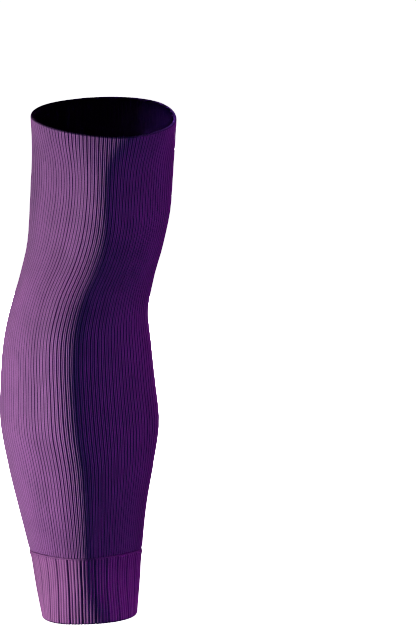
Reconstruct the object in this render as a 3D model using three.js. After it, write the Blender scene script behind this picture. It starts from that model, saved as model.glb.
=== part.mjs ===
// A knitted leg sleeve, worn from below the knee to above the ankle.
// A long tube of fine ribs is shaped to the leg, and a cuff of broad ribs is linked to its lower edge.
// Millimetres. +Z runs up the leg, the shin faces -Y and the calf faces +Y.
// The origin lies in the hollow at the fullest level of the calf, where the leg fills the sleeve.

import * as THREE from "three";

// Driving dimensions
const RIM_HEIGHT = 234;
const SEAM_HEIGHT = -97.5;
const HEM_HEIGHT = -147;
const SEAM_GAP = 0.3;
const EDGE_ROUNDING = 0.6;

const TUBE_WALL = 2.0;
const TUBE_RIBS = 110;
const TUBE_RIB_DEPTH = 0.7;
const TUBE_BANDS = 12;
const TUBE_INNER_COLUMNS = 55;

const CUFF_WALL = 2.6;
const CUFF_RIBS = 24;
const CUFF_RIB_DEPTH = 1.0;
const CUFF_BANDS = 3;
const CUFF_INNER_COLUMNS = 48;

// The tube is drawn in at the seam, and the cuff's top edge stands proud of it
const SEAM_PINCH = 0.5;
const CUFF_BEAD = 0.5;
const SEAM_REACH = 5;

const TUBE_COLOUR = 0x74437c;
const CUFF_COLOUR = 0x7c477f;
const KNIT_ROUGHNESS = 0.9;

// Sections of the leg, from the hem up to the rim. Each is an oval about the middle of the leg.
// Left, shin and right are the x of its sides and of its front line, and calf is the x of its rearmost point.
// The depths reach forwards and backwards from the middle y.
// The exponents shape the flanks beside the shin: 2 rounds a flank to an ellipse, and 1 flattens it.
// Roll is the angle in degrees by which the right side hangs lower.
const SECTION_COLUMNS = [
  "height", "left", "shin", "right", "calf", "middleY",
  "shinDepth", "calfDepth", "leftExponent", "rightExponent", "roll",
];
const LEG_SECTIONS = [
  [-147, -28.6, 2.8, 42.8, 5.0, -8.0, 41.0, 38.0, 2.00, 2.00, -1.9],
  [-122, -33.7, 2.1, 44.6, 3.5, -6.6, 45.0, 40.0, 1.57, 1.46, -1.2],
  [-99, -37.6, 1.3, 46.1, 2.0, -5.0, 48.6, 43.0, 1.49, 1.38, -0.6],
  [-61, -47.3, -1.0, 50.0, 0.5, -1.2, 56.2, 50.0, 1.43, 1.43, 0.0],
  [-31, -54.3, -3.3, 55.2, -1.0, 1.8, 61.4, 57.0, 1.39, 1.41, 0.0],
  [-2, -59.6, -6.8, 59.4, -3.0, 4.0, 65.8, 62.0, 1.38, 1.33, 0.0],
  [30, -59.6, -8.7, 56.4, -4.5, 5.0, 66.4, 64.0, 1.35, 1.34, 0.0],
  [60, -57.2, -9.5, 53.3, -4.5, 4.8, 64.7, 63.0, 1.43, 1.39, 0.0],
  [85, -52.3, -7.9, 51.4, -2.0, 4.0, 63.4, 60.0, 1.48, 1.44, 0.0],
  [110, -45.0, -1.8, 55.6, 5.5, 2.6, 60.1, 57.0, 1.54, 1.41, 0.0],
  [135, -39.3, 8.3, 62.3, 13.0, 0.8, 58.4, 55.0, 1.41, 1.42, 0.2],
  [160, -37.2, 14.8, 67.4, 19.0, -1.3, 59.8, 54.5, 1.33, 1.37, 0.5],
  [185, -36.0, 17.3, 69.6, 24.0, -3.5, 60.9, 54.0, 1.22, 1.29, 1.0],
  [210, -34.9, 18.2, 71.2, 29.0, -5.8, 58.5, 55.5, 1.32, 1.37, 1.6],
  [234, -35.8, 19.1, 72.8, 35.0, -7.9, 54.5, 58.0, 1.80, 1.75, 2.1],
];
const CALF_EXPONENT = 2.1;

// Share of a quarter turn over which the ridge of the shin and the sides of the leg are rounded
const RIDGE_SOFTNESS = 0.05;
const OUTLINE_SAMPLES = 360;

// Close to the rim, the ridge of the shin bends to the right while the ribs stay upright
const RIDGE_BEND = 8;
const RIDGE_BEND_REACH = 25;

// Columns of one broad cuff rib: place across the rib from groove to groove, share of the groove's depth
const CUFF_RIB_SHAPE = [
  [0.0, 1.0],
  [0.1, 0.35],
  [0.25, 0.05],
  [0.5, 0.0],
  [0.75, 0.05],
  [0.9, 0.35],
];

const legCurve = new THREE.CubicInterpolant(
  LEG_SECTIONS.map((row) => row[0]),
  LEG_SECTIONS.flat(),
  SECTION_COLUMNS.length,
);

// How far the ridge of the shin is bent to the right at a height
function ridgeBend(height) {
  const share = THREE.MathUtils.clamp((height - RIM_HEIGHT) / RIDGE_BEND_REACH + 1, 0, 1);
  return RIDGE_BEND * share ** 2;
}

// The leg's section at a height, by column name
function legSection(height) {
  const values = legCurve.evaluate(height);
  const section = Object.fromEntries(SECTION_COLUMNS.map((name, k) => [name, values[k]]));
  const bend = ridgeBend(height);
  return { ...section, shin: section.shin + bend, bend };
}

// Unit vector that a section is square to: it follows the leg's middle in side view and the roll in front
function legDirection(height) {
  const above = legSection(Math.min(height + 1, RIM_HEIGHT));
  const below = legSection(Math.max(height - 1, HEM_HEIGHT));
  const lean = (above.middleY - below.middleY) / (above.height - below.height);
  const roll = THREE.MathUtils.degToRad(legSection(height).roll);
  return new THREE.Vector3(Math.tan(roll), lean, 1).normalize();
}

// Numbers that split a stretch into equal steps, both ends included
function evenSteps(low, high, steps) {
  return Array.from({ length: steps + 1 }, (_, k) => low + ((high - low) * k) / steps);
}

// Eases a share from 0 to 1 in at its low end, so that the outline has no corner there
function softened(share) {
  const eased = (value) => Math.hypot(value, RIDGE_SOFTNESS) - RIDGE_SOFTNESS;
  return eased(share) / eased(1);
}

// Distance from a section's middle to its outline, at an angle from the shin
function outlineRadius(section, angle) {
  const { left, shin, right, shinDepth, calfDepth, leftExponent, rightExponent } = section;
  const onRight = Math.sin(angle) > 0;
  const atShin = Math.cos(angle) > 0;
  const flankExponent = onRight ? rightExponent : leftExponent;
  const exponent = atShin ? flankExponent : CALF_EXPONENT;
  const shaped = (share) => (atShin ? softened(share) : share);
  const across = shaped(Math.abs(Math.sin(angle))) / (onRight ? right - shin : shin - left);
  const along = shaped(Math.abs(Math.cos(angle))) / (atShin ? shinDepth : calfDepth);
  return (across ** exponent + along ** exponent) ** (-1 / exponent);
}

// Function from a turn, a share from 0 to 1 of the way round a section, to the angle from the shin's ridge.
// A turn of 0 is where the ridge would be without its bend.
function outlineAngles(section) {
  const angles = evenSteps(0, 2 * Math.PI, OUTLINE_SAMPLES);
  const points = angles.map((angle) => {
    const radius = outlineRadius(section, angle);
    return new THREE.Vector2(radius * Math.sin(angle), radius * Math.cos(angle));
  });
  const ways = [0];
  for (let k = 1; k < points.length; k += 1) {
    ways.push(ways[k - 1] + points[k].distanceTo(points[k - 1]));
  }
  const whole = ways[OUTLINE_SAMPLES];
  const turns = ways.map((way) => way / whole);
  const byTurn = new THREE.LinearInterpolant(turns, angles, 1);
  return (turn) => byTurn.evaluate(THREE.MathUtils.euclideanModulo(turn - section.bend / whole, 1))[0];
}

// A ring of points round the leg; each column has a turn from 0 to 1 and an inset from the outline
function legRing(height, columns) {
  const section = legSection(height);
  const angleAt = outlineAngles(section);
  const middle = new THREE.Vector3(section.shin, section.middleY, height);
  const upwards = legDirection(height);
  const sideways = new THREE.Vector3(1, 0, 0).projectOnPlane(upwards).normalize();
  const backwards = new THREE.Vector3().crossVectors(upwards, sideways);
  const points = columns.map(({ turn, inset }) => {
    const angle = angleAt(turn);
    const radius = outlineRadius(section, angle) - inset;
    const behind = -radius * Math.cos(angle);
    const calfShare = Math.max(0, behind / section.calfDepth);
    const aside = radius * Math.sin(angle) + (section.calf - section.shin) * calfShare ** 2;
    return middle.clone().addScaledVector(sideways, aside).addScaledVector(backwards, behind);
  });
  return { points, turns: columns.map(({ turn }) => turn) };
}

// Triangles between two rings whose points start at the given indices; the rings may differ in columns
function ringBand(ring, first, nextRing, nextFirst) {
  const count = ring.points.length;
  const nextCount = nextRing.points.length;
  const turnOf = (turns, column) => (column < turns.length ? turns[column] : 1);
  const triangles = [];
  let column = 0;
  let nextColumn = 0;
  while (column < count || nextColumn < nextCount) {
    const here = first + (column % count);
    const there = nextFirst + (nextColumn % nextCount);
    const ringIsBehind = turnOf(ring.turns, column + 1) <= turnOf(nextRing.turns, nextColumn + 1);
    if (column < count && (ringIsBehind || nextColumn === nextCount)) {
      column += 1;
      triangles.push(here, first + (column % count), there);
    } else {
      nextColumn += 1;
      triangles.push(here, nextFirst + (nextColumn % nextCount), there);
    }
  }
  return triangles;
}

// A closed wall from the rings met on the way up its outside, over its rim and down its inside
function wallGeometry(rings) {
  const firsts = [];
  const points = [];
  for (const ring of rings) {
    firsts.push(points.length);
    points.push(...ring.points);
  }
  const triangles = rings.flatMap((ring, k) => {
    const next = (k + 1) % rings.length;
    return ringBand(ring, firsts[k], rings[next], firsts[next]);
  });
  const geometry = new THREE.BufferGeometry().setFromPoints(points);
  geometry.setIndex(triangles);
  geometry.computeVertexNormals();
  return geometry;
}

// Rings of a knitted wall: heights run upwards, and pushed tells how far the wall is pushed in at a height
function knitRings({ heights, outerColumns, innerColumns, wall, pushed }) {
  const inset = (columns, amount) => columns.map((column) => ({ ...column, inset: column.inset + amount }));
  const outerRing = (height) => legRing(height, inset(outerColumns, pushed(height)));
  const innerRing = (height) => legRing(height, inset(innerColumns, wall + pushed(height)));
  const top = heights[heights.length - 1];
  const rim = legRing(top + EDGE_ROUNDING, inset(innerColumns, wall / 2 + pushed(top)));
  return [...heights.map(outerRing), rim, ...heights.toReversed().map(innerRing)];
}

// Columns of a smooth ring
function plainColumns(count) {
  return Array.from({ length: count }, (_, k) => ({ turn: k / count, inset: 0 }));
}

// Fine ribs: a groove and a crest each
function tubeColumns() {
  return plainColumns(TUBE_RIBS * 2).map(({ turn }, k) => {
    const inGroove = k % 2 === 0;
    return { turn, inset: inGroove ? TUBE_RIB_DEPTH : 0 };
  });
}

// Broad flat ribs with a narrow groove between them
function cuffColumns() {
  return plainColumns(CUFF_RIBS).flatMap(({ turn }) =>
    CUFF_RIB_SHAPE.map(([across, depthShare]) => ({
      turn: turn + across / CUFF_RIBS,
      inset: depthShare * CUFF_RIB_DEPTH,
    })),
  );
}

// How near the seam a height is: 1 on it, 0 beyond its reach
function seamNearness(height) {
  return 1 - THREE.MathUtils.smoothstep(Math.abs(height - SEAM_HEIGHT), 0, SEAM_REACH);
}

// A named piece of knit made of a wall's rings
function knitMesh(name, colour, rings) {
  const material = new THREE.MeshStandardMaterial({ color: colour, roughness: KNIT_ROUGHNESS, metalness: 0 });
  const mesh = new THREE.Mesh(wallGeometry(rings), material);
  mesh.name = name;
  return mesh;
}

// Long tube of fine ribs, from the seam to the rim below the knee
function knitTube() {
  const bottom = SEAM_HEIGHT + SEAM_GAP / 2;
  const rings = knitRings({
    heights: [bottom, ...evenSteps(SEAM_HEIGHT + SEAM_REACH, RIM_HEIGHT - EDGE_ROUNDING, TUBE_BANDS)],
    outerColumns: tubeColumns(),
    innerColumns: plainColumns(TUBE_INNER_COLUMNS),
    wall: TUBE_WALL,
    pushed: (height) => SEAM_PINCH * seamNearness(height),
  });
  return knitMesh("knit_tube", TUBE_COLOUR, rings);
}

// Cuff of broad ribs, from the hem to the seam
function ankleCuff() {
  const top = SEAM_HEIGHT - SEAM_GAP / 2 - EDGE_ROUNDING;
  const rings = knitRings({
    heights: [...evenSteps(HEM_HEIGHT, SEAM_HEIGHT - SEAM_REACH, CUFF_BANDS), top],
    outerColumns: cuffColumns(),
    innerColumns: plainColumns(CUFF_INNER_COLUMNS),
    wall: CUFF_WALL,
    pushed: (height) => -CUFF_BEAD * seamNearness(height),
  });
  return knitMesh("ankle_cuff", CUFF_COLOUR, rings);
}

const legSleeve = new THREE.Group();
legSleeve.name = "leg_sleeve";
legSleeve.add(knitTube(), ankleCuff());

export default legSleeve;
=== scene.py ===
"""Dresses a ribbed knit leg sleeve: a fine-ribbed tube, a broad-ribbed cuff and the seam that links them.

Metres, in the frame's own axes: +Z runs up the leg, the shin faces -Y and the calf faces +Y.
"""

import logging
import math
from dataclasses import dataclass
from enum import Enum
from typing import NamedTuple

import bpy
import numpy as np
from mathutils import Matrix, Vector


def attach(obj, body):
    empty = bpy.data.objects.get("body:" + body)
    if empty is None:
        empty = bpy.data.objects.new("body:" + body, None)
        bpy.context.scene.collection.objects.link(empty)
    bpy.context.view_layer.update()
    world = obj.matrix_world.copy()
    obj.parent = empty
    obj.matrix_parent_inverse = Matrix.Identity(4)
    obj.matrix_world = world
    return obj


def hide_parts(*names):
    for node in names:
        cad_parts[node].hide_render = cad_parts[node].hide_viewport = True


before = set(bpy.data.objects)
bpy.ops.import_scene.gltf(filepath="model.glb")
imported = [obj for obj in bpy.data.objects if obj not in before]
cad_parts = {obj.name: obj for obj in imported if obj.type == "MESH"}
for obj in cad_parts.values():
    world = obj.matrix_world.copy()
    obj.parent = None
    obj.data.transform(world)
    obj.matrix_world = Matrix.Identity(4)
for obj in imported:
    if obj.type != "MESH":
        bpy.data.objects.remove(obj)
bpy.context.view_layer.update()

LOG = logging.getLogger("leg_sleeve")

Colour = tuple[float, float, float, float]
NodeValue = float | str | tuple[float, ...] | bpy.types.NodeSocket
NodeInputs = dict[str | int, NodeValue]

RIM_HEIGHT = 0.234
SEAM_HEIGHT = -0.0975
HEM_HEIGHT = -0.147
SEAM_GAP = 0.0003
SEAM_REACH = 0.005
CLOTH_SEED = 7.0
NOISE_MIDDLE = 0.5

# Shares of the way round the leg, from the shin.
HALF_TURN = 0.5
SIDE_TURN = 0.25

# Places of the sockets that a Mix node of colours uses.
MIX_FACTOR = 0
MIX_FIRST = 6
MIX_SECOND = 7
MIX_RESULT = 2

# The ball that is stretched into each linking stitch, 1 across.
BALL_SEGMENTS = 8
BALL_RINGS = 6
BALL_RADIUS = 0.5


class LegSection(NamedTuple):
    """One oval section of the leg, in metres and degrees.

    Left, shin and right are the x of its sides and of its front line, and calf is the x of its rearmost
    point. The depths reach forwards and backwards from the middle y. The exponents shape the flanks beside
    the shin, flatter where they are lower. The roll is how far the right side hangs lower.
    """

    height: float
    left: float
    shin: float
    right: float
    calf: float
    middle_y: float
    shin_depth: float
    calf_depth: float
    left_exponent: float
    right_exponent: float
    roll: float


LEG_SECTIONS: tuple[LegSection, ...] = (
    LegSection(-0.147, -0.0286, 0.0028, 0.0428, 0.0050, -0.0080, 0.0410, 0.0380, 2.00, 2.00, -1.9),
    LegSection(-0.122, -0.0337, 0.0021, 0.0446, 0.0035, -0.0066, 0.0450, 0.0400, 1.57, 1.46, -1.2),
    LegSection(-0.099, -0.0376, 0.0013, 0.0461, 0.0020, -0.0050, 0.0486, 0.0430, 1.49, 1.38, -0.6),
    LegSection(-0.061, -0.0473, -0.0010, 0.0500, 0.0005, -0.0012, 0.0562, 0.0500, 1.43, 1.43, 0.0),
    LegSection(-0.031, -0.0543, -0.0033, 0.0552, -0.0010, 0.0018, 0.0614, 0.0570, 1.39, 1.41, 0.0),
    LegSection(-0.002, -0.0596, -0.0068, 0.0594, -0.0030, 0.0040, 0.0658, 0.0620, 1.38, 1.33, 0.0),
    LegSection(0.030, -0.0596, -0.0087, 0.0564, -0.0045, 0.0050, 0.0664, 0.0640, 1.35, 1.34, 0.0),
    LegSection(0.060, -0.0572, -0.0095, 0.0533, -0.0045, 0.0048, 0.0647, 0.0630, 1.43, 1.39, 0.0),
    LegSection(0.085, -0.0523, -0.0079, 0.0514, -0.0020, 0.0040, 0.0634, 0.0600, 1.48, 1.44, 0.0),
    LegSection(0.110, -0.0450, -0.0018, 0.0556, 0.0055, 0.0026, 0.0601, 0.0570, 1.54, 1.41, 0.0),
    LegSection(0.135, -0.0393, 0.0083, 0.0623, 0.0130, 0.0008, 0.0584, 0.0550, 1.41, 1.42, 0.2),
    LegSection(0.160, -0.0372, 0.0148, 0.0674, 0.0190, -0.0013, 0.0598, 0.0545, 1.33, 1.37, 0.5),
    LegSection(0.185, -0.0360, 0.0173, 0.0696, 0.0240, -0.0035, 0.0609, 0.0540, 1.22, 1.29, 1.0),
    LegSection(0.210, -0.0349, 0.0182, 0.0712, 0.0290, -0.0058, 0.0585, 0.0555, 1.32, 1.37, 1.6),
    LegSection(0.234, -0.0358, 0.0191, 0.0728, 0.0350, -0.0079, 0.0545, 0.0580, 1.80, 1.75, 2.1),
)


def unit(vectors: np.ndarray) -> np.ndarray:
    """Scales vectors, held in the last axis, to a length of 1."""
    return vectors / np.linalg.norm(vectors, axis=-1, keepdims=True)


@dataclass(frozen=True)
class LegForm:
    """The worn form of the leg that the knit is stretched over.

    Attributes:
        sections: Sections from the hem to the rim.
        calf_exponent: Shape of the back of every section, where 2 is an ellipse.
        ridge_softness: How far the shin's ridge and the sides are rounded.
        outline_samples: Steps round a section when its outline is measured.
        slope_step: Half of the height over which slopes are measured.
        ridge_bend: How far the shin's ridge bends to the right at the rim.
        bend_reach: Height of the stretch below the rim that bends.
    """

    sections: tuple[LegSection, ...] = LEG_SECTIONS
    calf_exponent: float = 2.1
    ridge_softness: float = 0.05
    outline_samples: int = 720
    slope_step: float = 0.001
    ridge_bend: float = 0.008
    bend_reach: float = 0.025

    def bend(self, heights: np.ndarray) -> np.ndarray:
        """Tells how far the shin's ridge bends to the right near the rim, where the ribs stay upright."""
        share = np.clip((heights - RIM_HEIGHT) / self.bend_reach + 1, 0, 1)
        return self.ridge_bend * share**2

    def sections_at(self, heights: np.ndarray) -> LegSection:
        """Interpolates the sections with a smooth curve through every row.

        Args:
            heights: Heights to read, one for each result.

        Returns:
            A section whose fields are columns, one row for each height.
        """
        table = np.array(self.sections)
        knots = table[:, 0]
        secants = np.diff(table, axis=0) / np.diff(knots)[:, None]
        slopes = np.concatenate([secants[:1], (secants[1:] + secants[:-1]) / 2, secants[-1:]])
        low = np.clip(np.searchsorted(knots, heights, side="right") - 1, 0, len(knots) - 2)
        step = (knots[low + 1] - knots[low])[:, None]
        t = np.clip((heights - knots[low])[:, None] / step, 0, 1)
        values = (
            table[low] * (1 + 2 * t) * (1 - t) ** 2
            + table[low + 1] * t**2 * (3 - 2 * t)
            + step * slopes[low] * t * (1 - t) ** 2
            + step * slopes[low + 1] * t**2 * (t - 1)
        )
        section = LegSection(*(column[:, None] for column in values.T))
        return section._replace(shin=section.shin + self.bend(section.height))

    def softened(self, share: np.ndarray) -> np.ndarray:
        """Rounds the shin's ridge and its sides: eases a share from 0 to 1 in at its low end."""
        ease = self.ridge_softness
        return (np.sqrt(share**2 + ease**2) - ease) / (math.sqrt(1 + ease**2) - ease)

    def directions(self, heights: np.ndarray) -> np.ndarray:
        """Finds the unit vectors that the sections are square to.

        Args:
            heights: Heights of the sections.

        Returns:
            One vector for each height.
        """
        above = self.sections_at(np.minimum(heights + self.slope_step, RIM_HEIGHT))
        below = self.sections_at(np.maximum(heights - self.slope_step, HEM_HEIGHT))
        lean = (above.middle_y - below.middle_y) / (above.height - below.height)
        roll = np.tan(np.radians(self.sections_at(heights).roll))
        return unit(np.hstack([roll, lean, np.ones_like(lean)]))

    def radius(self, section: LegSection, angles: np.ndarray) -> np.ndarray:
        """Measures from the middle of each section to its outline.

        Args:
            section: Sections, one in each row.
            angles: Angles from the shin by way of +X, in columns.

        Returns:
            Distances, as rows of columns.
        """
        sine = np.sin(angles)
        cosine = np.cos(angles)
        half_width = np.where(sine > 0, section.right - section.shin, section.shin - section.left)
        depth = np.where(cosine > 0, section.shin_depth, section.calf_depth)
        flank_exponent = np.where(sine > 0, section.right_exponent, section.left_exponent)
        exponent = np.where(cosine > 0, flank_exponent, self.calf_exponent)
        across = np.where(cosine > 0, self.softened(np.abs(sine)), np.abs(sine))
        along = np.where(cosine > 0, self.softened(np.abs(cosine)), np.abs(cosine))
        return ((across / half_width) ** exponent + (along / depth) ** exponent) ** (-1 / exponent)

    def angles(self, section: LegSection, turns: np.ndarray) -> np.ndarray:
        """Finds the angles that lie given shares of the way round the outlines.

        Args:
            section: Sections, one in each row.
            turns: Shares of the way round, from 0 at the shin by way of +X to 1.

        Returns:
            Angles, as rows of columns.
        """
        samples = np.linspace(0, 2 * math.pi, self.outline_samples + 1)
        radius = self.radius(section, samples[None, :])
        steps = np.hypot(np.diff(radius * np.sin(samples)), np.diff(radius * np.cos(samples)))
        way = np.hstack([np.zeros((len(steps), 1)), np.cumsum(steps, axis=1)])
        from_ridge = np.mod(turns - self.bend(section.height) / way[:, -1:], 1) * way[:, -1:]
        return np.array([np.interp(places, row, samples) for places, row in zip(from_ridge, way)])

    def points(self, heights: np.ndarray, turns: np.ndarray, inset: np.ndarray) -> np.ndarray:
        """Places a grid of points on the leg.

        Args:
            heights: Height of each row.
            turns: Place of each column, as a share of the way round the leg.
            inset: How far each row lies inside the outline.

        Returns:
            Positions, as rows of columns of vectors.
        """
        section = self.sections_at(heights)
        upwards = self.directions(heights)
        sideways = unit(np.array([1.0, 0.0, 0.0]) - upwards[:, :1] * upwards)
        backwards = np.cross(upwards, sideways)
        angles = self.angles(section, turns)
        radius = self.radius(section, angles) - inset[:, None]
        behind = -radius * np.cos(angles)
        calf_share = np.maximum(0, behind / section.calf_depth)
        aside = radius * np.sin(angles) + (section.calf - section.shin) * calf_share**2
        middle = np.hstack([section.shin, section.middle_y, heights[:, None]])
        return (
            middle[:, None]
            + aside[..., None] * sideways[:, None]
            + behind[..., None] * backwards[:, None]
        )

    def outward(self, heights: np.ndarray, turns: np.ndarray) -> np.ndarray:
        """Finds the unit normals of the leg on the grid that points() fills.

        Args:
            heights: Height of each row.
            turns: Place of each column round the leg.

        Returns:
            Normals, as rows of columns of vectors.
        """
        flush = np.zeros_like(heights)
        inner = np.clip(heights, HEM_HEIGHT + self.slope_step, RIM_HEIGHT - self.slope_step)
        above = self.points(inner + self.slope_step, turns, flush)
        below = self.points(inner - self.slope_step, turns, flush)
        ring = self.points(inner, turns, flush)
        around = np.roll(ring, -1, axis=1) - np.roll(ring, 1, axis=1)
        return unit(np.cross(around, above - below))


class TreeBuilder:
    """Adds nodes to a node tree and links them."""

    def __init__(self, tree: bpy.types.NodeTree) -> None:
        """Keeps the tree to build in."""
        self.tree = tree

    def node(self, kind: str, inputs: NodeInputs | None = None, **settings: object) -> bpy.types.Node:
        """Adds a node, applies its settings and feeds its inputs.

        Args:
            kind: Blender's name for the kind of node.
            inputs: Value of each input that isn't left as it is, by its name or place.
            settings: Values of the node's own properties.

        Returns:
            The new node.
        """
        made = self.tree.nodes.new(kind)
        for name, value in settings.items():
            setattr(made, name, value)
        for place, value in (inputs or {}).items():
            self.feed(made.inputs[place], value)
        return made

    def feed(self, socket: bpy.types.NodeSocket, value: NodeValue) -> None:
        """Links a socket to another, or gives it a fixed value.

        Args:
            socket: Input to set.
            value: Socket or fixed value that it takes.
        """
        if isinstance(value, bpy.types.NodeSocket):
            self.tree.links.new(value, socket)
        else:
            socket.default_value = value

    def math(self, operation: str, *values: NodeValue) -> bpy.types.NodeSocket:
        """Adds a sum of one to three numbers.

        Args:
            operation: Blender's name for the sum.
            values: Numbers or sockets, in the node's order.

        Returns:
            The result's socket.
        """
        return self.node("ShaderNodeMath", dict(enumerate(values)), operation=operation).outputs[0]

    def ramp(
        self, value: NodeValue, low: NodeValue, high: NodeValue, start: float, end: float
    ) -> bpy.types.NodeSocket:
        """Eases from one number to another as a value crosses a range.

        Args:
            value: Number to read.
            low: Where the range begins.
            high: Where the range ends.
            start: Result up to low.
            end: Result from high.

        Returns:
            The result's socket.
        """
        numbers = dict(enumerate((value, low, high, start, end)))
        return self.node("ShaderNodeMapRange", numbers, interpolation_type="SMOOTHSTEP").outputs[0]

    def scaled(self, vector: bpy.types.NodeSocket, factor: NodeValue) -> bpy.types.NodeSocket:
        """Multiplies a vector by a number.

        Args:
            vector: Vector's socket.
            factor: Number or socket.

        Returns:
            The result's socket.
        """
        return self.node("ShaderNodeVectorMath", {0: vector, "Scale": factor}, operation="SCALE").outputs[0]

    def mixed(self, factor: NodeValue, first: NodeValue, second: NodeValue) -> bpy.types.NodeSocket:
        """Mixes two colours.

        Args:
            factor: Share of the second colour.
            first: Colour at 0.
            second: Colour at 1.

        Returns:
            The result's socket.
        """
        inputs = {MIX_FACTOR: factor, MIX_FIRST: first, MIX_SECOND: second}
        return self.node("ShaderNodeMix", inputs, data_type="RGBA").outputs[MIX_RESULT]


class SocketKind(Enum):
    """Kinds of input that a Geometry Nodes tree takes."""

    GEOMETRY = "NodeSocketGeometry"
    NUMBER = "NodeSocketFloat"
    COUNT = "NodeSocketInt"
    MATERIAL = "NodeSocketMaterial"


class ShapeTree:
    """A Geometry Nodes tree with named inputs, run once on an object."""

    def __init__(self, name: str, inputs: dict[str, SocketKind]) -> None:
        """Makes an empty tree.

        Args:
            name: Name of the tree.
            inputs: Kind of each named input, after the geometry.
        """
        self.group = bpy.data.node_groups.new(name, "GeometryNodeTree")
        self.build = TreeBuilder(self.group)
        sockets = {"Geometry": SocketKind.GEOMETRY, **inputs}
        self.identifiers = {
            title: self.group.interface.new_socket(title, in_out="INPUT", socket_type=kind.value).identifier
            for title, kind in sockets.items()
        }
        self.group.interface.new_socket("Geometry", in_out="OUTPUT", socket_type=SocketKind.GEOMETRY.value)
        self.inputs = self.build.node("NodeGroupInput").outputs

    def named(self, attribute: str, data_type: str) -> bpy.types.NodeSocket:
        """Reads an attribute of the mesh.

        Args:
            attribute: Name of the attribute.
            data_type: Blender's name for its type.

        Returns:
            The value's socket.
        """
        made = self.build.node("GeometryNodeInputNamedAttribute", {"Name": attribute}, data_type=data_type)
        return made.outputs["Attribute"]

    def end(self, geometry: bpy.types.NodeSocket) -> None:
        """Realizes the instances, shades the mesh smooth and gives it the material.

        Args:
            geometry: Socket of what the tree has made.
        """
        build = self.build
        realized = build.node("GeometryNodeRealizeInstances", {"Geometry": geometry})
        smooth = build.node("GeometryNodeSetShadeSmooth", {"Geometry": realized.outputs["Geometry"]})
        finish = {"Geometry": smooth.outputs["Geometry"], "Material": self.inputs["Material"]}
        dressed = build.node("GeometryNodeSetMaterial", finish)
        build.node("NodeGroupOutput", {"Geometry": dressed.outputs["Geometry"]})

    def run(self, name: str, start: bpy.types.Mesh, values: dict[str, object]) -> bpy.types.Object:
        """Runs the tree on a mesh and keeps the result as a plain mesh.

        Args:
            name: Name of the finished piece.
            start: Mesh to begin with.
            values: Value of each named input.

        Returns:
            The finished object, with no modifier left.
        """
        piece = bpy.data.objects.new(name, start)
        bpy.context.collection.objects.link(piece)
        modifier = piece.modifiers.new(self.group.name, "NODES")
        modifier.node_group = self.group
        for title, value in values.items():
            modifier[self.identifiers[title]] = value
        graph = bpy.context.evaluated_depsgraph_get()
        evaluated = piece.evaluated_get(graph)
        plain = bpy.data.meshes.new_from_object(evaluated, preserve_all_data_layers=True, depsgraph=graph)
        piece.modifiers.remove(modifier)
        piece.data = plain
        plain.name = name
        bpy.data.meshes.remove(start)
        return piece


def rib_knit_tree() -> ShapeTree:
    """Makes the tree that sinks grooves between ribs and between wales into a smooth wall.

    Returns:
        The tree, which reads the attributes turn, outward and rib_share of the wall.
    """
    numbers = (
        "Rib Depth",
        "Groove Share",
        "Unevenness",
        "Wale Depth",
        "Wale Roundness",
        "Sway",
        "Sway Scale",
        "Seed",
    )
    counts = ("Ribs", "Wales per Rib")
    kinds = {title: SocketKind.COUNT for title in counts} | {title: SocketKind.NUMBER for title in numbers}
    tree = ShapeTree("rib_knit", kinds | {"Material": SocketKind.MATERIAL})
    build = tree.build
    inputs = tree.inputs

    turned = build.math("MULTIPLY", tree.named("turn", "FLOAT"), inputs["Ribs"])
    across = build.math("FRACT", turned)
    from_groove = build.math("MINIMUM", across, build.math("SUBTRACT", 1.0, across))
    groove = build.ramp(from_groove, 0.0, inputs["Groove Share"], 1.0, 0.0)
    wales_across = build.math("MULTIPLY", across, inputs["Wales per Rib"])
    wave = build.math("SINE", build.math("MULTIPLY", wales_across, math.pi))
    wale = build.math("POWER", build.math("ABSOLUTE", wave), inputs["Wale Roundness"])
    nearest = build.math("MODULO", build.math("ROUND", turned), inputs["Ribs"])
    seeded = build.math("ADD", nearest, inputs["Seed"])
    chance = build.node("ShaderNodeTexWhiteNoise", {"W": seeded}, noise_dimensions="1D")
    more_or_less = build.math("SUBTRACT", chance.outputs["Value"], NOISE_MIDDLE)
    uneven = build.math("MULTIPLY", more_or_less, inputs["Unevenness"])
    rib_depth = build.math("MULTIPLY", inputs["Rib Depth"], build.math("ADD", uneven, 1.0))
    rib_sink = build.math("MULTIPLY", groove, rib_depth)
    wale_sink = build.math("MULTIPLY", build.math("SUBTRACT", 1.0, wale), inputs["Wale Depth"])
    sink = build.math("ADD", rib_sink, wale_sink)
    deepest = build.math("ADD", inputs["Rib Depth"], inputs["Wale Depth"])
    height = build.math("SUBTRACT", 1.0, build.math("DIVIDE", sink, deepest))

    shown_sink = build.math("MULTIPLY", sink, tree.named("rib_share", "FLOAT"))
    sunk = build.scaled(tree.named("outward", "FLOAT_VECTOR"), build.math("MULTIPLY", shown_sink, -1.0))
    waves = {
        "Vector": build.node("GeometryNodeInputPosition").outputs[0],
        "W": inputs["Seed"],
        "Scale": inputs["Sway Scale"],
    }
    noise = build.node("ShaderNodeTexNoise", waves, noise_dimensions="4D")
    about_middle = {0: noise.outputs["Color"], 1: (NOISE_MIDDLE,) * 3}
    centred = build.node("ShaderNodeVectorMath", about_middle, operation="SUBTRACT")
    sway = build.scaled(centred.outputs[0], inputs["Sway"])
    moved = build.node("ShaderNodeVectorMath", {0: sunk, 1: sway}, operation="ADD")

    kept = {"Geometry": inputs["Geometry"], "Name": "knit_height", "Value": height}
    stored = build.node("GeometryNodeStoreNamedAttribute", kept, data_type="FLOAT", domain="POINT")
    move = {"Geometry": stored.outputs["Geometry"], "Offset": moved.outputs[0]}
    placed = build.node("GeometryNodeSetPosition", move)
    tree.end(placed.outputs["Geometry"])
    return tree


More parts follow.
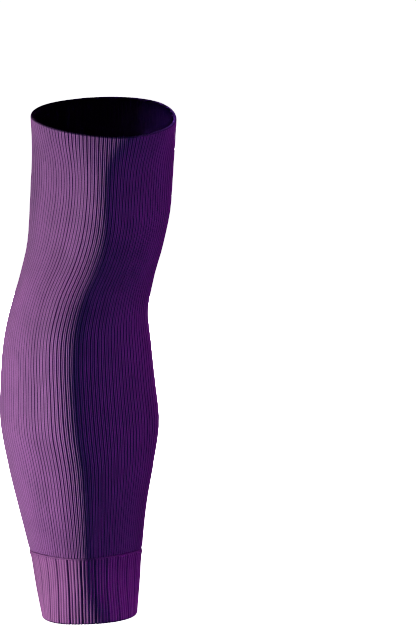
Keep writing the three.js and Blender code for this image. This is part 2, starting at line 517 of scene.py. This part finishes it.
def linking_stitch_tree() -> ShapeTree:
    """Makes the tree that lays a row of small slanted stitches along a closed line.

    Returns:
        The tree.
    """
    numbers = ("Stitch Length", "Yarn Width", "Slant")
    kinds = {"Stitches": SocketKind.COUNT} | {title: SocketKind.NUMBER for title in numbers}
    tree = ShapeTree("linking_stitch", kinds | {"Material": SocketKind.MATERIAL})
    build = tree.build
    inputs = tree.inputs

    path = build.node("GeometryNodeMeshToCurve", {"Mesh": inputs["Geometry"]})
    row = {"Curve": path.outputs["Curve"], "Count": inputs["Stitches"]}
    places = build.node("GeometryNodeCurveToPoints", row, mode="COUNT")
    along = {"Vector": places.outputs["Tangent"]}
    facing = build.node("FunctionNodeAlignRotationToVector", along, axis="X")
    euler = build.node("ShaderNodeCombineXYZ", {"Y": inputs["Slant"]})
    turned = build.node("FunctionNodeEulerToRotation", {0: euler.outputs[0]})
    turns = {0: facing.outputs[0], 1: turned.outputs[0]}
    slanted = build.node("FunctionNodeRotateRotation", turns, rotation_space="LOCAL")

    ball = {"Segments": BALL_SEGMENTS, "Rings": BALL_RINGS, "Radius": BALL_RADIUS}
    width = inputs["Yarn Width"]
    size = build.node("ShaderNodeCombineXYZ", {"X": inputs["Stitch Length"], "Y": width, "Z": width})
    stitch = {
        "Points": places.outputs["Points"],
        "Instance": build.node("GeometryNodeMeshUVSphere", ball).outputs["Mesh"],
        "Rotation": slanted.outputs[0],
        "Scale": size.outputs[0],
    }
    laid = build.node("GeometryNodeInstanceOnPoints", stitch)
    tree.end(laid.outputs["Instances"])
    return tree


@dataclass(frozen=True, kw_only=True)
class YarnFinish:
    """Matte yarn with loose fibres.

    Attributes:
        name: Name of the material.
        yarn: Colour of the yarn, on top of the ribs where it is knitted.
        fluff: Colour of the loose fibres.
        fluff_range: Values of the fibres' noise between which fluff comes in.
        fluff_share: Most of the fluff's colour that shows.
        fibre_scale: Loose fibres in each metre.
        fibre_detail: Octaves of the fibres' noise.
        fibre_relief: Height of the loose fibres beside that of the yarn.
        relief: Height of the bump.
        relief_strength: Strength of the bump.
        rough_range: Values of the fibres' noise between which the roughness rises.
        smoothest: Lowest roughness.
        roughest: Highest roughness.
        sheen: Weight of the sheen.
        sheen_roughness: Roughness of the sheen.
        shine: Level of the plain reflection.
    """

    name: str
    yarn: Colour
    fluff: Colour
    fluff_range: tuple[float, float] = (0.45, 0.75)
    fluff_share: float = 0.4
    fibre_scale: float = 1400.0
    fibre_detail: float = 2.0
    fibre_relief: float = 0.6
    relief: float = 0.00025
    relief_strength: float = 0.5
    rough_range: tuple[float, float] = (0.3, 0.7)
    smoothest: float = 0.48
    roughest: float = 0.66
    sheen: float = 0.02
    sheen_roughness: float = 0.5
    shine: float = 0.25

    def noise(self, build: TreeBuilder, scale: float, detail: float) -> bpy.types.NodeSocket:
        """Adds noise on Object coordinates.

        Args:
            build: Builder of the material's tree.
            scale: Grains in each metre.
            detail: Octaves.

        Returns:
            The noise's socket, about 0 to 1.
        """
        position = build.node("ShaderNodeTexCoord").outputs["Object"]
        grain = {"Vector": position, "Scale": scale, "Detail": detail}
        return build.node("ShaderNodeTexNoise", grain).outputs[0]

    def fluffed(self, build: TreeBuilder, fibre: NodeValue, colour: NodeValue) -> bpy.types.NodeSocket:
        """Lays the loose fibres over a colour."""
        loose = build.ramp(fibre, *self.fluff_range, 0.0, self.fluff_share)
        return build.mixed(loose, colour, self.fluff)

    def surface(
        self, build: TreeBuilder, fibre: bpy.types.NodeSocket
    ) -> tuple[bpy.types.NodeSocket, bpy.types.NodeSocket]:
        """Colours and raises the yarn.

        Args:
            build: Builder of the material's tree.
            fibre: Noise of the loose fibres.

        Returns:
            Sockets of the colour and of the height, which is 1 on a whole yarn.
        """
        height = build.math("MULTIPLY", fibre, self.fibre_relief)
        return self.fluffed(build, fibre, self.yarn), height

    def material(self) -> bpy.types.Material:
        """Builds the material.

        Returns:
            The finished material.
        """
        made = bpy.data.materials.new(self.name)
        made.use_nodes = True
        made.node_tree.nodes.clear()
        build = TreeBuilder(made.node_tree)
        fibre = self.noise(build, self.fibre_scale, self.fibre_detail)
        colour, height = self.surface(build, fibre)
        bump = {"Strength": self.relief_strength, "Distance": self.relief, "Height": height}
        looks = {
            "Base Color": colour,
            "Roughness": build.ramp(fibre, *self.rough_range, self.smoothest, self.roughest),
            "Specular IOR Level": self.shine,
            "Sheen Weight": self.sheen,
            "Sheen Roughness": self.sheen_roughness,
            "Sheen Tint": self.fluff,
            "Normal": build.node("ShaderNodeBump", bump).outputs["Normal"],
        }
        shader = build.node("ShaderNodeBsdfPrincipled", looks)
        build.node("ShaderNodeOutputMaterial", {"Surface": shader.outputs[0]})
        return made


@dataclass(frozen=True, kw_only=True)
class KnitFinish(YarnFinish):
    """Yarn knitted in V-shaped stitches, with painted shade in the grooves, along the leg's sides, inside
    the tube and on its free edges.

    Attributes:
        groove: Colour painted as shade between ribs, wales and stitches; mottled patches and the sides mix
            towards it too.
        inner: Colour painted as shade inside the tube and, nearly as dark, on its free edges.
        wales: Columns of stitches round the leg.
        courses: Rows of stitches along the piece.
        stitch_slant: Rise of a stitch's V from its middle to its side, in courses.
        stitch_shade: Share of the groove colour painted as shade between yarns.
        crest_range: Heights in the knit between which the painted groove shade turns into the yarn's
            colour.
        mottle_scale: Mottled patches in each metre.
        mottle_detail: Octaves of the patches' noise.
        mottle_range: Values of the patches' noise between which they come in.
        mottle_share: Most of the groove's colour that a patch has.
        side_shade: Most of the groove's colour painted along the sides of the leg as shade.
        side_shade_reach: Half of the painted side shade's width, as a share of the way round.
    """

    groove: Colour
    inner: Colour
    wales: float
    courses: float
    stitch_slant: float = 0.9
    stitch_shade: float = 0.35
    crest_range: tuple[float, float] = (0.6, 1.0)
    mottle_scale: float = 45.0
    mottle_detail: float = 3.0
    mottle_range: tuple[float, float] = (0.35, 0.7)
    mottle_share: float = 0.22
    side_shade: float = 0.55
    side_shade_reach: float = 0.09

    def place(self, build: TreeBuilder) -> bpy.types.NodeOutputs:
        """Reads the piece's own UV map: X is the share of the way round and Y the share of the way up."""
        flat = build.node("ShaderNodeUVMap", uv_map="knit").outputs[0]
        return build.node("ShaderNodeSeparateXYZ", {0: flat}).outputs

    def stitches(self, build: TreeBuilder) -> bpy.types.NodeSocket:
        """Draws the V of each stitch along the wales.

        Args:
            build: Builder of the material's tree.

        Returns:
            Socket of the yarn's height, 1 on the middle of a yarn and 0 between yarns.
        """
        place = self.place(build)
        across = build.math("FRACT", build.math("MULTIPLY", place["X"], self.wales))
        from_middle = build.math("ABSOLUTE", build.math("SUBTRACT", across, 0.5))
        along = build.math("MULTIPLY", place["Y"], self.courses)
        slanted = build.math("MULTIPLY_ADD", from_middle, self.stitch_slant * 2, along)
        from_yarn = build.math("ABSOLUTE", build.math("SUBTRACT", build.math("FRACT", slanted), 0.5))
        doubled = build.math("MULTIPLY", from_yarn, 2.0)
        return build.math("SUBTRACT", 1.0, build.math("MULTIPLY", doubled, doubled))

    def painted_side_shade(self, build: TreeBuilder) -> bpy.types.NodeSocket:
        """Finds the sides of the leg, where the knit is painted darker as shade.

        Args:
            build: Builder of the material's tree.

        Returns:
            Socket of how much painted side shade the knit gets, 0 over the shin and the calf.
        """
        from_shin = build.math("PINGPONG", self.place(build)["X"], HALF_TURN)
        from_side = build.math("ABSOLUTE", build.math("SUBTRACT", from_shin, SIDE_TURN))
        # Painted shade: the knit is darkened towards the groove colour along the leg's sides.
        return build.ramp(from_side, 0.0, self.side_shade_reach, self.side_shade, 0.0)

    def attribute(self, build: TreeBuilder, name: str) -> bpy.types.NodeSocket:
        """Reads a number from the piece's mesh."""
        return build.node("ShaderNodeAttribute", attribute_name=name).outputs["Fac"]

    def surface(
        self, build: TreeBuilder, fibre: bpy.types.NodeSocket
    ) -> tuple[bpy.types.NodeSocket, bpy.types.NodeSocket]:
        """Colours and raises the knit, stitch by stitch, with painted shade.

        Args:
            build: Builder of the material's tree.
            fibre: Noise of the loose fibres.

        Returns:
            Sockets of the colour and of the height, which is 1 on a whole yarn.
        """
        stitch = self.stitches(build)
        # Painted shade: the groove colour is laid where the knit is sunk, in the grooves between ribs and
        # wales.
        raised = build.ramp(self.attribute(build, "knit_height"), *self.crest_range, 0.0, 1.0)
        shaded = build.mixed(raised, self.groove, self.yarn)
        # Painted shade between the yarns of each stitch.
        between = build.math("MULTIPLY", build.math("SUBTRACT", 1.0, stitch), self.stitch_shade)
        stitched = build.mixed(between, shaded, self.groove)
        fluffed = self.fluffed(build, fibre, stitched)
        mottle = self.noise(build, self.mottle_scale, self.mottle_detail)
        patches = build.ramp(mottle, *self.mottle_range, 0.0, self.mottle_share)
        mottled = build.mixed(patches, fluffed, self.groove)
        # Painted shade along the leg's sides.
        side_shaded = build.mixed(self.painted_side_shade(build), mottled, self.groove)
        # Painted shade: the inside of the tube and its free edges take the dark inner colour.
        colour = build.mixed(self.attribute(build, "inside"), side_shaded, self.inner)
        return colour, build.math("ADD", stitch, build.math("MULTIPLY", fibre, self.fibre_relief))


TUBE_FINISH = KnitFinish(
    name="tube_yarn",
    yarn=(0.332, 0.094, 0.352, 1.0),
    groove=(0.085, 0.026, 0.102, 1.0),
    fluff=(0.330, 0.140, 0.345, 1.0),
    inner=(0.060, 0.018, 0.080, 1.0),
    wales=220.0,
    courses=256.0,
)
CUFF_FINISH = KnitFinish(
    name="cuff_yarn",
    yarn=(0.300, 0.080, 0.285, 1.0),
    groove=(0.110, 0.028, 0.118, 1.0),
    fluff=(0.300, 0.120, 0.295, 1.0),
    inner=(0.060, 0.018, 0.080, 1.0),
    wales=96.0,
    courses=34.0,
)
SEAM_FINISH = YarnFinish(
    name="linking_yarn",
    yarn=(0.200, 0.056, 0.208, 1.0),
    fluff=(0.180, 0.070, 0.190, 1.0),
)


class Face(Enum):
    """Side of a knitted wall, with the share of the inner colour, painted as shade, that the finish gives
    it.
    """

    OUTSIDE = 0.0
    # The free edges are painted nearly as dark as the inside, as shade.
    EDGE = 0.95
    INSIDE = 1.0


@dataclass(frozen=True)
class WallRows:
    """Rows of a knitted wall that share their columns, from one edge to the other.

    Attributes:
        heights: Height of each row.
        insets: How far each row lies inside the leg's outline.
        columns: Points in each row.
        face: Side of the wall.
        rib_share: Share of the ribs' depth that shows.
    """

    heights: np.ndarray
    insets: np.ndarray
    columns: int
    face: Face
    rib_share: float = 1.0


def set_numbers(mesh: bpy.types.Mesh, name: str, values: np.ndarray) -> None:
    """Stores one number for each point of a mesh."""
    mesh.attributes.new(name, "FLOAT", "POINT").data.foreach_set("value", values)


def ring_faces(here: np.ndarray, there: np.ndarray) -> list[tuple[int, ...]]:
    """Joins a ring of points to the next one, which has as many, twice as many or half as many.

    Args:
        here: Indices of the ring.
        there: Indices of the next ring.

    Returns:
        Faces whose front is on the outside.
    """
    here_next = np.roll(here, -1)
    there_next = np.roll(there, -1)
    if len(here) == len(there):
        return list(zip(here.tolist(), here_next.tolist(), there_next.tolist(), there.tolist()))
    if len(here) > len(there):
        early, middle, late = here[::2], here[1::2], here_next[1::2]
        fans = ((early, middle, there), (middle, there_next, there), (middle, late, there_next))
    else:
        early, middle, late = there[::2], there[1::2], there_next[1::2]
        fans = ((here, middle, early), (here, here_next, middle), (here_next, late, middle))
    return [corners for fan in fans for corners in zip(*(ring.tolist() for ring in fan))]


@dataclass
class KnitPiece:
    """A length of rib knit round the leg: a closed wall with rounded edges, its ribs sunk into the outside.

    Attributes:
        leg: Form that the knit is stretched over.
        node: Solid that the piece stands for.
        slot: Material slot, not used.
        bottom: Height of the lower edge.
        top: Height of the upper edge.
        wall: Thickness of the knit.
        ribs: Ribs round the leg.
        columns_per_rib: Points across a rib.
        wales_per_rib: Columns of stitches across a rib.
        rib_depth: Depth of the groove between two ribs.
        groove_share: Half of the groove's width, as a share of a rib's.
        unevenness: How much the grooves' depths differ.
        wale_depth: Depth of the line between two wales.
        wale_roundness: Roundness of a wale, flatter where it is lower.
        seam_push: How far the wall is pushed in at the seam.
        rows: Rows of points up the outside, away from the seam.
        inner_rows: Rows of points up the inside, away from the seam.
        flat: Size of the relaxed knit laid open, round by along, not used.
        finish: Look of the knit.
        seam_rows: Rows of points beside the seam.
        edge_rows: Rows of points over an edge.
        edge_start: Angle of an edge's first row from the wall's outside, in radians.
        edge_rounding: Height of an edge's rounding.
        inner_rib_share: Share of the ribs' depth that shows inside.
        sway: Full range of the knit's uneven lie.
        sway_scale: Waves of that lie in each metre.
    """

    leg: LegForm
    node: str
    slot: str
    bottom: float
    top: float
    wall: float
    ribs: int
    columns_per_rib: int
    wales_per_rib: int
    rib_depth: float
    groove_share: float
    unevenness: float
    wale_depth: float
    wale_roundness: float
    seam_push: float
    rows: int
    inner_rows: int
    flat: tuple[float, float]
    finish: KnitFinish
    seam_rows: int = 7
    edge_rows: int = 5
    edge_start: float = 0.2
    edge_rounding: float = 0.0011
    inner_rib_share: float = 0.4
    sway: float = 0.0012
    sway_scale: float = 22.0

    def pushed(self, heights: np.ndarray) -> np.ndarray:
        """Tells how far the wall is pushed in near the seam.

        Args:
            heights: Heights to read.

        Returns:
            One distance for each height, negative where the wall stands proud.
        """
        t = np.clip(np.abs(heights - SEAM_HEIGHT) / SEAM_REACH, 0, 1)
        return self.seam_push * (1 - t**2 * (3 - 2 * t))

    def row_heights(self, rows: int) -> np.ndarray:
        """Splits the wall between its rounded edges into rows, closer together at the seam.

        Args:
            rows: Rows away from the seam.

        Returns:
            Heights from the lower edge to the upper.
        """
        low = self.bottom + self.edge_rounding
        high = self.top - self.edge_rounding
        if abs(self.bottom - SEAM_HEIGHT) < SEAM_GAP:
            turn = low + SEAM_REACH
            near = np.linspace(low, turn, self.seam_rows, endpoint=False)
            return np.concatenate([near, np.linspace(turn, high, rows)])
        turn = high - SEAM_REACH
        near = np.linspace(turn, high, self.seam_rows + 1)[1:]
        return np.concatenate([np.linspace(low, turn, rows), near])

    def edge(self, height: float, direction: float) -> tuple[np.ndarray, np.ndarray]:
        """Rounds one edge of the wall, from its outside to its inside.

        Args:
            height: Height of the edge.
            direction: 1 for an upper edge and -1 for a lower one.

        Returns:
            Height and inset of each row.
        """
        angles = np.linspace(self.edge_start, math.pi - self.edge_start, self.edge_rows)
        heights = height - direction * self.edge_rounding * (1 - np.sin(angles))
        return heights, self.wall / 2 * (1 - np.cos(angles)) + self.pushed(heights)

    def edge_face(self, height: float) -> Face:
        """Tells a free edge, which is painted dark as shade, from the edge that is linked to the other
        piece.
        """
        return Face.OUTSIDE if abs(height - SEAM_HEIGHT) < SEAM_REACH else Face.EDGE

    def wall_rows(self) -> list[WallRows]:
        """Lays out the wall: up its outside, over the upper edge, down its inside and under the lower edge.

        Returns:
            The stretches of rows, in that order.
        """
        columns = self.ribs * self.columns_per_rib
        outside = self.row_heights(self.rows)
        inside = self.row_heights(self.inner_rows)[::-1]
        inner_insets = self.wall + self.pushed(inside)
        upper, upper_insets = self.edge(self.top, direction=1.0)
        lower, lower_insets = self.edge(self.bottom, direction=-1.0)
        return [
            WallRows(outside, self.pushed(outside), columns, Face.OUTSIDE),
            WallRows(upper, upper_insets, columns, self.edge_face(self.top)),
            WallRows(inside, inner_insets, columns // 2, Face.INSIDE, self.inner_rib_share),
            WallRows(lower[::-1], lower_insets[::-1], columns, self.edge_face(self.bottom)),
        ]

    def smooth_wall(self) -> bpy.types.Mesh:
        """Builds the wall without its ribs, with the attributes that the rib tree and the finish read.

        Returns:
            The closed mesh.
        """
        points: list[np.ndarray] = []
        outward: list[np.ndarray] = []
        rings: list[np.ndarray] = []
        turns: list[np.ndarray] = []
        rib_share: list[np.ndarray] = []
        inside: list[np.ndarray] = []
        total = 0
        for stretch in self.wall_rows():
            ring_turns = np.arange(stretch.columns) / stretch.columns
            count = len(stretch.heights) * stretch.columns
            points.append(self.leg.points(stretch.heights, ring_turns, stretch.insets).reshape(-1, 3))
            outward.append(self.leg.outward(stretch.heights, ring_turns).reshape(-1, 3))
            turns.append(np.tile(ring_turns, len(stretch.heights)))
            rib_share.append(np.full(count, stretch.rib_share))
            # Share of the inner colour, painted as shade inside the tube and on its free edges.
            inside.append(np.full(count, stretch.face.value))
            rings.extend(np.arange(total, total + count).reshape(-1, stretch.columns))
            total += count
        place = np.concatenate(points)
        mesh = bpy.data.meshes.new(self.node)
        following = rings[1:] + rings[:1]
        faces = [face for here, there in zip(rings, following) for face in ring_faces(here, there)]
        mesh.from_pydata(place.tolist(), [], faces)
        set_numbers(mesh, "turn", np.concatenate(turns))
        set_numbers(mesh, "rib_share", np.concatenate(rib_share))
        set_numbers(mesh, "inside", np.concatenate(inside))
        normals = mesh.attributes.new("outward", "FLOAT_VECTOR", "POINT")
        normals.data.foreach_set("vector", np.concatenate(outward).ravel())
        self.lay_out(mesh, np.concatenate(turns), place[:, 2])
        return mesh

    def lay_out(self, mesh: bpy.types.Mesh, turns: np.ndarray, heights: np.ndarray) -> None:
        """Gives the wall its UV map: once round the leg, and from the lower edge to the upper.

        Args:
            mesh: The wall.
            turns: Place of each point round the leg.
            heights: Height of each point.
        """
        corners = np.zeros(len(mesh.loops), dtype=np.int32)
        mesh.loops.foreach_get("vertex_index", corners)
        starts = np.zeros(len(mesh.polygons), dtype=np.int32)
        sides = np.zeros(len(mesh.polygons), dtype=np.int32)
        mesh.polygons.foreach_get("loop_start", starts)
        mesh.polygons.foreach_get("loop_total", sides)
        across = turns[corners]
        farthest = np.repeat(np.maximum.reduceat(across, starts), sides)
        across = np.where(farthest - across > HALF_TURN, across + 1, across)
        along = (heights[corners] - self.bottom) / (self.top - self.bottom)
        mesh.uv_layers.new(name="knit").data.foreach_set("uv", np.column_stack([across, along]).ravel())

    def dress(self, rib_knit: ShapeTree) -> bpy.types.Object:
        """Sinks the ribs, gives the finish and puts the piece into the frame.

        Args:
            rib_knit: Tree that makes ribs and wales.

        Returns:
            The finished piece.
        """
        sizes = {
            "Ribs": self.ribs,
            "Wales per Rib": self.wales_per_rib,
            "Rib Depth": self.rib_depth,
            "Groove Share": self.groove_share,
            "Unevenness": self.unevenness,
            "Wale Depth": self.wale_depth,
            "Wale Roundness": self.wale_roundness,
            "Sway": self.sway,
            "Sway Scale": self.sway_scale,
            "Seed": CLOTH_SEED,
            "Material": self.finish.material(),
        }
        piece = rib_knit.run(f"{self.node}_knit", self.smooth_wall(), sizes)
        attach(piece, "root")
        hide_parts(self.node)
        return piece


@dataclass
class KnitTube(KnitPiece):
    """The long tube of fine ribs, from the seam to the rim below the knee."""

    node: str = "knit_tube"
    slot: str = "tube_knit"
    bottom: float = SEAM_HEIGHT + SEAM_GAP / 2
    top: float = RIM_HEIGHT
    wall: float = 0.0020
    ribs: int = 110
    columns_per_rib: int = 12
    wales_per_rib: int = 2
    rib_depth: float = 0.0006
    groove_share: float = 0.25
    unevenness: float = 0.6
    wale_depth: float = 0.00045
    wale_roundness: float = 0.45
    seam_push: float = 0.0005
    rows: int = 42
    inner_rows: int = 20
    flat: tuple[float, float] = (0.29, 0.345)
    finish: KnitFinish = TUBE_FINISH


@dataclass
class AnkleCuff(KnitPiece):
    """The cuff of broad ribs, from the hem to the seam."""

    node: str = "ankle_cuff"
    slot: str = "cuff_knit"
    bottom: float = HEM_HEIGHT
    top: float = SEAM_HEIGHT - SEAM_GAP / 2
    wall: float = 0.0026
    ribs: int = 24
    columns_per_rib: int = 36
    wales_per_rib: int = 4
    rib_depth: float = 0.0007
    groove_share: float = 0.10
    unevenness: float = 1.0
    wale_depth: float = 0.0007
    wale_roundness: float = 0.6
    seam_push: float = -0.0005
    rows: int = 20
    inner_rows: int = 8
    flat: tuple[float, float] = (0.21, 0.05)
    finish: KnitFinish = CUFF_FINISH
    edge_rounding: float = 0.0013


@dataclass
class LinkingSeam:
    """The row of stitches that links the tube to the cuff, sunk in the crease between them.

    The slant is in radians. The depth is how far the stitches' middles lie inside the leg's outline.
    """

    leg: LegForm
    finish: YarnFinish = SEAM_FINISH
    stitches: int = 240
    stitch_length: float = 0.0018
    yarn_width: float = 0.0011
    slant: float = 0.45
    depth: float = 0.0004
    path_points: int = 480

    def path(self) -> bpy.types.Mesh:
        """Draws the closed line that the stitches follow.

        Returns:
            A mesh of edges.
        """
        turns = np.arange(self.path_points) / self.path_points
        ring = self.leg.points(np.array([SEAM_HEIGHT]), turns, np.array([self.depth]))[0]
        line = bpy.data.meshes.new("linking_seam")
        edges = [(k, (k + 1) % self.path_points) for k in range(self.path_points)]
        line.from_pydata(ring.tolist(), edges, [])
        return line

    def dress(self) -> bpy.types.Object:
        """Lays the stitches and puts them into the frame.

        Returns:
            The finished piece.
        """
        sizes = {
            "Stitches": self.stitches,
            "Stitch Length": self.stitch_length,
            "Yarn Width": self.yarn_width,
            "Slant": self.slant,
            "Material": self.finish.material(),
        }
        piece = linking_stitch_tree().run("linking_seam", self.path(), sizes)
        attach(piece, "root")
        return piece


@dataclass(frozen=True)
class SoftLamp:
    """A rectangular studio lamp that faces a point, placed by its direction and distance from it.

    Angles are in degrees. The azimuth goes round from the shin by way of +X, and the elevation goes up.
    """

    name: str
    aim: tuple[float, float, float]
    azimuth: float
    elevation: float
    distance: float
    width: float
    height: float
    watts: float
    colour: tuple[float, float, float]
    spread: float = 180.0

    def hang(self) -> None:
        """Makes the lamp."""
        lamp = bpy.data.lights.new(self.name, "AREA")
        lamp.shape = "RECTANGLE"
        lamp.size = self.width
        lamp.size_y = self.height
        lamp.energy = self.watts
        lamp.color = self.colour
        lamp.spread = math.radians(self.spread)
        around = math.radians(self.azimuth)
        up = math.radians(self.elevation)
        back = Vector((math.sin(around) * math.cos(up), -math.cos(around) * math.cos(up), math.sin(up)))
        stand = bpy.data.objects.new(self.name, lamp)
        stand.location = Vector(self.aim) + back * self.distance
        stand.rotation_euler = back.to_track_quat("Z", "Y").to_euler()
        bpy.context.collection.objects.link(stand)


@dataclass
class Studio:
    """Pale floor, soft lamps and the camera of the picture.

    The floor glows in its own colour. The pixel is the size that a pixel covers at the frame's origin, and
    the origin pixel is where that origin falls. The sensor's width is in millimetres.
    """

    floor_height: float = -0.40
    floor_side: float = 30.0
    floor_colour: Colour = (0.9, 0.9, 0.9, 1.0)
    floor_roughness: float = 0.9
    floor_glow: float = 1.15
    ambient: Colour = (0.6, 0.6, 0.7, 1.0)
    ambient_strength: float = 0.01
    lamps: tuple[SoftLamp, ...] = (
        SoftLamp(
            "key_lamp",
            aim=(0.0, 0.0, -0.09), azimuth=-69.5, elevation=-6.0, distance=1.3,
            width=0.2, height=0.3, watts=10.2, colour=(0.95, 1.0, 0.89), spread=115.0,
        ),
        SoftLamp(
            "fill_lamp",
            aim=(0.0, 0.0, 0.04), azimuth=110.0, elevation=0.0, distance=2.4,
            width=0.6, height=0.5, watts=35.0, colour=(0.8, 0.08, 1.0),
        ),
        SoftLamp(
            "front_lamp",
            aim=(0.0, 0.0, 0.04), azimuth=5.0, elevation=-8.0, distance=2.4,
            width=0.6, height=0.5, watts=11.6, colour=(0.18, 0.38, 1.0),
        ),
        SoftLamp(
            "cuff_lamp",
            aim=(0.02, 0.0, -0.135), azimuth=62.0, elevation=-4.0, distance=0.8,
            width=0.1, height=0.03, watts=0.004, colour=(0.75, 0.1, 1.0), spread=8.0,
        ),
        SoftLamp(
            "mouth_lamp",
            aim=(0.073, 0.0, 0.21), azimuth=-80.0, elevation=64.0, distance=0.5,
            width=0.05, height=0.05, watts=0.03, colour=(0.42, 0.25, 1.0), spread=13.0,
        ),
        SoftLamp(
            "back_lamp",
            aim=(0.0, 0.0, 0.04), azimuth=175.0, elevation=-8.0, distance=2.4,
            width=0.8, height=0.2, watts=40.0, colour=(1.0, 0.96, 1.0),
        ),
    )
    picture_width: int = 416
    picture_height: int = 626
    pixel: float = 0.00075
    origin_pixel: tuple[float, float] = (80.0, 422.0)
    camera_elevation: float = 12.0
    camera_distance: float = 6.0
    camera_reach: float = 100.0
    sensor: float = 36.0

    def lay_floor(self) -> None:
        """Lays the floor."""
        half = self.floor_side / 2
        outline = ((-half, -half), (half, -half), (half, half), (-half, half))
        corners = [(x, y, self.floor_height) for x, y in outline]
        mesh = bpy.data.meshes.new("studio_floor")
        mesh.from_pydata(corners, [], [(0, 1, 2, 3)])
        paint = bpy.data.materials.new("floor_paint")
        paint.use_nodes = True
        shader = paint.node_tree.nodes["Principled BSDF"]
        shader.inputs["Base Color"].default_value = self.floor_colour
        shader.inputs["Roughness"].default_value = self.floor_roughness
        shader.inputs["Emission Color"].default_value = self.floor_colour
        shader.inputs["Emission Strength"].default_value = self.floor_glow
        mesh.materials.append(paint)
        floor = bpy.data.objects.new("studio_floor", mesh)
        floor.visible_diffuse = False
        floor.visible_glossy = False
        bpy.context.collection.objects.link(floor)

    def light(self) -> None:
        """Hangs the lamps and sets the light of the room."""
        for lamp in self.lamps:
            lamp.hang()
        room = bpy.data.worlds.new("studio_room")
        room.use_nodes = True
        background = room.node_tree.nodes["Background"]
        background.inputs["Color"].default_value = self.ambient
        background.inputs["Strength"].default_value = self.ambient_strength
        bpy.context.scene.world = room
        bpy.context.scene.view_settings.view_transform = "Standard"
        bpy.context.scene.cycles.pixel_filter_type = "BOX"

    def place_camera(self) -> None:
        """Places the camera so that the frame's origin falls on its pixel of the picture."""
        tilt = math.radians(self.camera_elevation)
        right = Vector((1.0, 0.0, 0.0))
        up = Vector((0.0, math.sin(tilt), math.cos(tilt)))
        back = Vector((0.0, -math.cos(tilt), math.sin(tilt)))
        aside = (self.picture_width / 2 - self.origin_pixel[0]) * self.pixel
        above = (self.origin_pixel[1] - self.picture_height / 2) * self.pixel
        lens = bpy.data.cameras.new("picture_camera")
        lens.sensor_width = self.sensor
        lens.lens = self.sensor * self.camera_distance / (self.picture_height * self.pixel)
        lens.clip_end = self.camera_reach
        camera = bpy.data.objects.new("picture_camera", lens)
        camera.location = right * aside + up * above + back * self.camera_distance
        camera.rotation_euler = back.to_track_quat("Z", "Y").to_euler()
        bpy.context.collection.objects.link(camera)
        bpy.context.scene.camera = camera


def main() -> None:
    """Builds the sleeve and its studio."""
    logging.basicConfig(level=logging.INFO, format="%(name)s: %(message)s")
    leg = LegForm()
    rib_knit = rib_knit_tree()
    pieces = [
        KnitTube(leg).dress(rib_knit),
        AnkleCuff(leg).dress(rib_knit),
        LinkingSeam(leg).dress(),
    ]
    for piece in pieces:
        LOG.info("%s: %d faces", piece.name, len(piece.data.polygons))
    studio = Studio()
    studio.lay_floor()
    studio.light()
    studio.place_camera()


if __name__ == "__main__":
    main()
